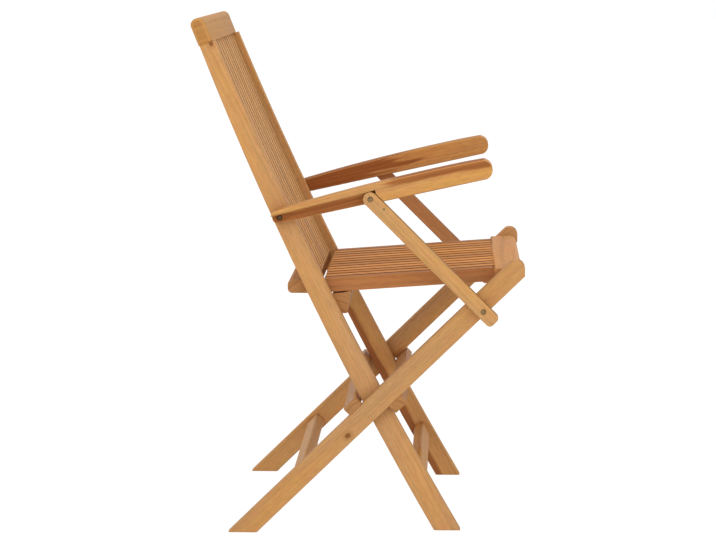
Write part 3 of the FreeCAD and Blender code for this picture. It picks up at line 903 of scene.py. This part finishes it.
def head_tree(name):
    """Slotted heads with their shanks on points, each facing the way its point says."""
    t, given = new_tree(name, "GeometryNodeTree", {
        "Places": "Geometry", "Diameter": 6.5 * MM, "Height": 1 * MM, "Slot": 1 * MM, "Shank": 4 * MM,
        "Length": 6 * MM, "Seed": 3, "Metal": "Material"}, {"Heads": "Geometry"})
    radius = t.times(given["Diameter"], 0.5)
    head = t.add("GeometryNodeMeshCone", {"Vertices": 20, "Radius Top": t.times(radius, 0.86),
                                          "Radius Bottom": radius, "Depth": given["Height"]})
    size = t.combine(given["Diameter"], given["Slot"], given["Height"])
    cut = t.add("GeometryNodeMeshCube", {"Size": size})
    raised = t.add("GeometryNodeTransform", {"Geometry": cut.outputs[0],
                                             "Translation": t.combine(z=t.times(given["Height"], 0.95))})
    slotted = t.add("GeometryNodeMeshBoolean", {"Mesh 1": head.outputs[0], "Mesh 2": raised.outputs[0]},
                    operation="DIFFERENCE", solver="EXACT")
    shank = t.add("GeometryNodeMeshCylinder", {"Vertices": 12, "Radius": t.times(given["Shank"], 0.5),
                                               "Depth": given["Length"]})
    sunk = t.add("GeometryNodeTransform", {"Geometry": shank.outputs[0],
                                           "Translation": t.combine(z=t.times(given["Length"], -0.5))})
    whole = t.add("GeometryNodeJoinGeometry")
    t.tree.links.new(slotted.outputs[0], whole.inputs[0])
    t.tree.links.new(sunk.outputs[0], whole.inputs[0])
    facing = t.add("GeometryNodeInputNamedAttribute", {"Name": "facing"}, data_type="FLOAT_VECTOR")
    chance = t.add("FunctionNodeRandomValue", {"Max": 6.28, "Seed": given["Seed"]}, data_type="FLOAT")
    turn = t.add("FunctionNodeAlignRotationToVector", {"Vector": facing.outputs[0]}, axis="Z")
    local = t.add("FunctionNodeRotateRotation", {"Rotation": turn.outputs[0],
                                                 "Rotate By": t.combine(z=chance.outputs[1])},
                  rotation_space="LOCAL")
    placed = t.add("GeometryNodeInstanceOnPoints", {"Points": given["Places"], "Instance": whole.outputs[0],
                                                    "Rotation": local.outputs[0]})
    real = t.add("GeometryNodeRealizeInstances", {"Geometry": placed.outputs[0]})
    made = t.add("GeometryNodeSetMaterial", {"Geometry": real.outputs[0], "Material": given["Metal"]})
    return t.finished({"Heads": made.outputs[0]})


def points_mesh(name, places):
    """A mesh of loose points, each with the direction that it faces."""
    mesh = bpy.data.meshes.new(name)
    mesh.from_pydata([place for place, way in places], [], [])
    facing = mesh.attributes.new("facing", "FLOAT_VECTOR", "POINT")
    for entry, (place, way) in zip(facing.data, places):
        entry.vector = way
    return mesh


def fitting(name, body, sizes, places, node=None):
    """Slotted fittings of one kind on one body, in place of a CAD node where one is named."""
    piece = grown(name, group("slotted heads", head_tree), {**sizes, "Seed": len(name)},
                  points_mesh(name, places))
    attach(piece, body)
    if node:
        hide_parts(node)


def brace_pin_place(side):
    """A small pin in each brace, just below its upper bolt."""
    face = OUTWARD[side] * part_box("left_arm_brace")[1].y
    return Vector((BRACE_PIN_X, face, BRACE_PIN_Z)), Vector((0, OUTWARD[side], 0))


def batten_screw_places():
    """Two screws through each stop batten into the edge of each leg."""
    way, up = side_axes(leg_lean())
    leg_low, leg_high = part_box("right_rear_leg")
    places = []
    for node, face in (("upper_stop_batten", up), ("lower_stop_batten", -up)):
        centre = middle(node)
        reach = max((v.co - centre).dot(face) for v in nodes[node].data.vertices)
        for side in (-1, 1):
            y = side * abs(leg_low.y + leg_high.y) / 2
            for along in (-SCREW_APART, SCREW_APART):
                places.append((Vector((centre.x, y, centre.z)) + way * along + face * reach, face))
    return places


def seat_screw_places():
    """A screw through each batten into each seat slat, from below."""
    down = -side_axes(SEAT_SLOPE)[1]
    first, step = row_places(SEAT_SLATS)[1:]
    places = []
    for node in ("seat_front_batten", "seat_rear_batten"):
        centre = middle(node)
        reach = max((v.co - centre).dot(down) for v in nodes[node].data.vertices)
        for number in range(len(SEAT_SLATS)):
            places.append((Vector((centre.x, first + step * number, centre.z)) + down * reach, down))
    return places


class ARMCHAIR_OT_fittings(Operator):
    """Adds the screws, the bolts and the brace pins and finishes the pins, washers and inserts"""
    bl_idname = "armchair.fittings"
    bl_label = "Fittings"

    def execute(self, context):
        s = settings().fittings
        steel = metal("steel", (0.42, 0.39, 0.36), 0.38)
        dark = metal("aged_steel", (0.30, 0.22, 0.12), 0.5)
        # The pivot bolts' steel is darker still: dark steel, and painted shade under the armrest's lip
        pivot_steel_and_shade = metal("dark_steel_and_shade", (0.15, 0.11, 0.07), 0.55)
        brass = metal("brass", (0.33, 0.24, 0.12), 0.46)
        for ending, finish in (("_pins", steel), ("_washers", steel), ("_inserts", brass)):
            for name, node in nodes.items():
                if name.endswith(ending):
                    node.data.materials.clear()
                    node.data.materials.append(dark if name == "armrest_washers" else finish)
        screw = {"Diameter": s.screw, "Height": 0.8 * MM, "Slot": s.slot, "Shank": 3.5 * MM,
                 "Length": 12 * MM, "Metal": steel}
        pin = {"Diameter": s.pin, "Height": 0.3 * MM, "Slot": s.slot * 0.7, "Shank": 2 * MM,
               "Length": 6 * MM, "Metal": dark}
        bolt = {"Diameter": s.bolt, "Height": BOLT_HEAD, "Slot": s.slot, "Shank": 6 * MM, "Metal": dark}
        fitting("batten_screws", "rear_leg_frame", screw, batten_screw_places())
        fitting("seat_screws", "seat", screw, seat_screw_places())
        # Pivot bolts: the darkest steel, partly painted shade
        fitting("armrest_bolts", "back_frame", {**bolt, "Length": BOLT_REACH["pivot"], "Metal": pivot_steel_and_shade},
                [head_place("armrest_pivot_bolts", side) for side in SIDES], "armrest_pivot_bolts")
        for side in SIDES:
            for end, body in (("top", "_armrest"), ("foot", "_brace")):
                node = side + "_brace_" + end + "_bolt"
                fitting(side + "_" + end + "_bolt", side + body, {**bolt, "Length": BOLT_REACH[end]},
                        [head_place(node, side)], node)
            fitting(side + "_brace_pins", side + "_brace", pin, [brace_pin_place(side)])
        return {"FINISHED"}


# Stage

def seen_bare(t):
    """1 for rays from the camera, from a reflection or through a clear surface, and 0 for the others."""
    seen = t.add("ShaderNodeLightPath").outputs
    return t.most(t.most(seen["Is Camera Ray"], seen["Is Glossy Ray"]), seen["Is Transmission Ray"])


def floor_material():
    """White to the camera and in reflections, with the chair's own faint shadow kept."""
    cover, glow = 0.8, 1.16
    material, t = new_material("floor")
    pale = t.add("ShaderNodeBsdfDiffuse", {"Color": opaque((0.9, 0.9, 0.9))})
    white = t.add("ShaderNodeEmission", {"Color": opaque((1, 1, 1)), "Strength": glow})
    mixed = t.add("ShaderNodeMixShader", {0: t.times(seen_bare(t), cover), 1: pale.outputs[0],
                                          2: white.outputs[0]})
    t.add("ShaderNodeOutputMaterial", {"Surface": mixed.outputs[0]})
    return material


def surroundings(strength):
    """An even light on the chair, and plain white to the camera and in reflections."""
    world = bpy.data.worlds.new("surroundings")
    world.use_nodes = True
    world.node_tree.nodes.clear()
    t = Tree(world.node_tree)
    light = t.add("ShaderNodeBackground", {"Color": opaque((1, 1, 1)), "Strength": strength})
    white = t.add("ShaderNodeBackground", {"Color": opaque((1, 1, 1)), "Strength": 1.0})
    mixed = t.add("ShaderNodeMixShader", {0: seen_bare(t), 1: light.outputs[0], 2: white.outputs[0]})
    t.add("ShaderNodeOutputWorld", {"Surface": mixed.outputs[0]})
    return world


class ARMCHAIR_OT_stage(Operator):
    """Sets the floor, the lamps, the surroundings and the camera"""
    bl_idname = "armchair.stage"
    bl_label = "Stage"

    def execute(self, context):
        s = settings().stage
        scene = context.scene
        scene.view_settings.view_transform = "Standard"
        far = FLOOR_HALF
        mesh = bpy.data.meshes.new("floor")
        mesh.from_pydata([(-far, -far, 0), (far, -far, 0), (far, far, 0), (-far, far, 0)], [], [(0, 1, 2, 3)])
        mesh.materials.append(floor_material())
        new_object("floor", mesh)
        scene.world = surroundings(s.world)
        for name, place, size, power in LAMPS:
            data = bpy.data.lights.new(name, "AREA")
            data.shape = "DISK"
            data.size = size
            data.energy = s.key * power
            lamp = new_object(name, data)
            lamp.location = place
            lamp.rotation_mode = "QUATERNION"
            lamp.rotation_quaternion = (Vector(LAMP_TARGET) - Vector(place)).to_track_quat("-Z", "Y")
        data = bpy.data.cameras.new("camera")
        data.lens = s.lens
        data.sensor_width = 36.0
        camera = new_object("camera", data)
        camera.location = s.place
        aim = Euler((math.radians(90) - s.tilt, 0, s.turn)).to_matrix() @ Matrix.Rotation(s.roll, 3, "Z")
        camera.rotation_euler = aim.to_euler()
        scene.camera = camera
        return {"FINISHED"}


class ARMCHAIR_PT_panel(Panel):
    bl_label = "Folding armchair"
    bl_space_type = "VIEW_3D"
    bl_region_type = "UI"
    bl_category = "Armchair"

    def draw(self, context):
        for operator in OPERATORS:
            self.layout.operator(operator.bl_idname)


OPERATORS = (ARMCHAIR_OT_back_frame, ARMCHAIR_OT_back_slats, ARMCHAIR_OT_leg_frame, ARMCHAIR_OT_seat_frame,
             ARMCHAIR_OT_seat_slats, ARMCHAIR_OT_armrests, ARMCHAIR_OT_fittings, ARMCHAIR_OT_stage)
CLASSES = (TeakTones, TeakFigure, BoardEdges, FittingSizes, StageSettings, ArmchairSettings, *OPERATORS,
           ARMCHAIR_PT_panel)


def register():
    for made in CLASSES:
        bpy.utils.register_class(made)
    bpy.types.Scene.armchair = PointerProperty(type=ArmchairSettings)


def unregister():
    del bpy.types.Scene.armchair
    for made in reversed(CLASSES):
        bpy.utils.unregister_class(made)


def main():
    register()
    bpy.ops.armchair.back_frame()
    bpy.ops.armchair.back_slats()
    bpy.ops.armchair.leg_frame()
    bpy.ops.armchair.seat_frame()
    bpy.ops.armchair.seat_slats()
    bpy.ops.armchair.armrests()
    bpy.ops.armchair.fittings()
    bpy.ops.armchair.stage()


if __name__ == "__main__":
    main()
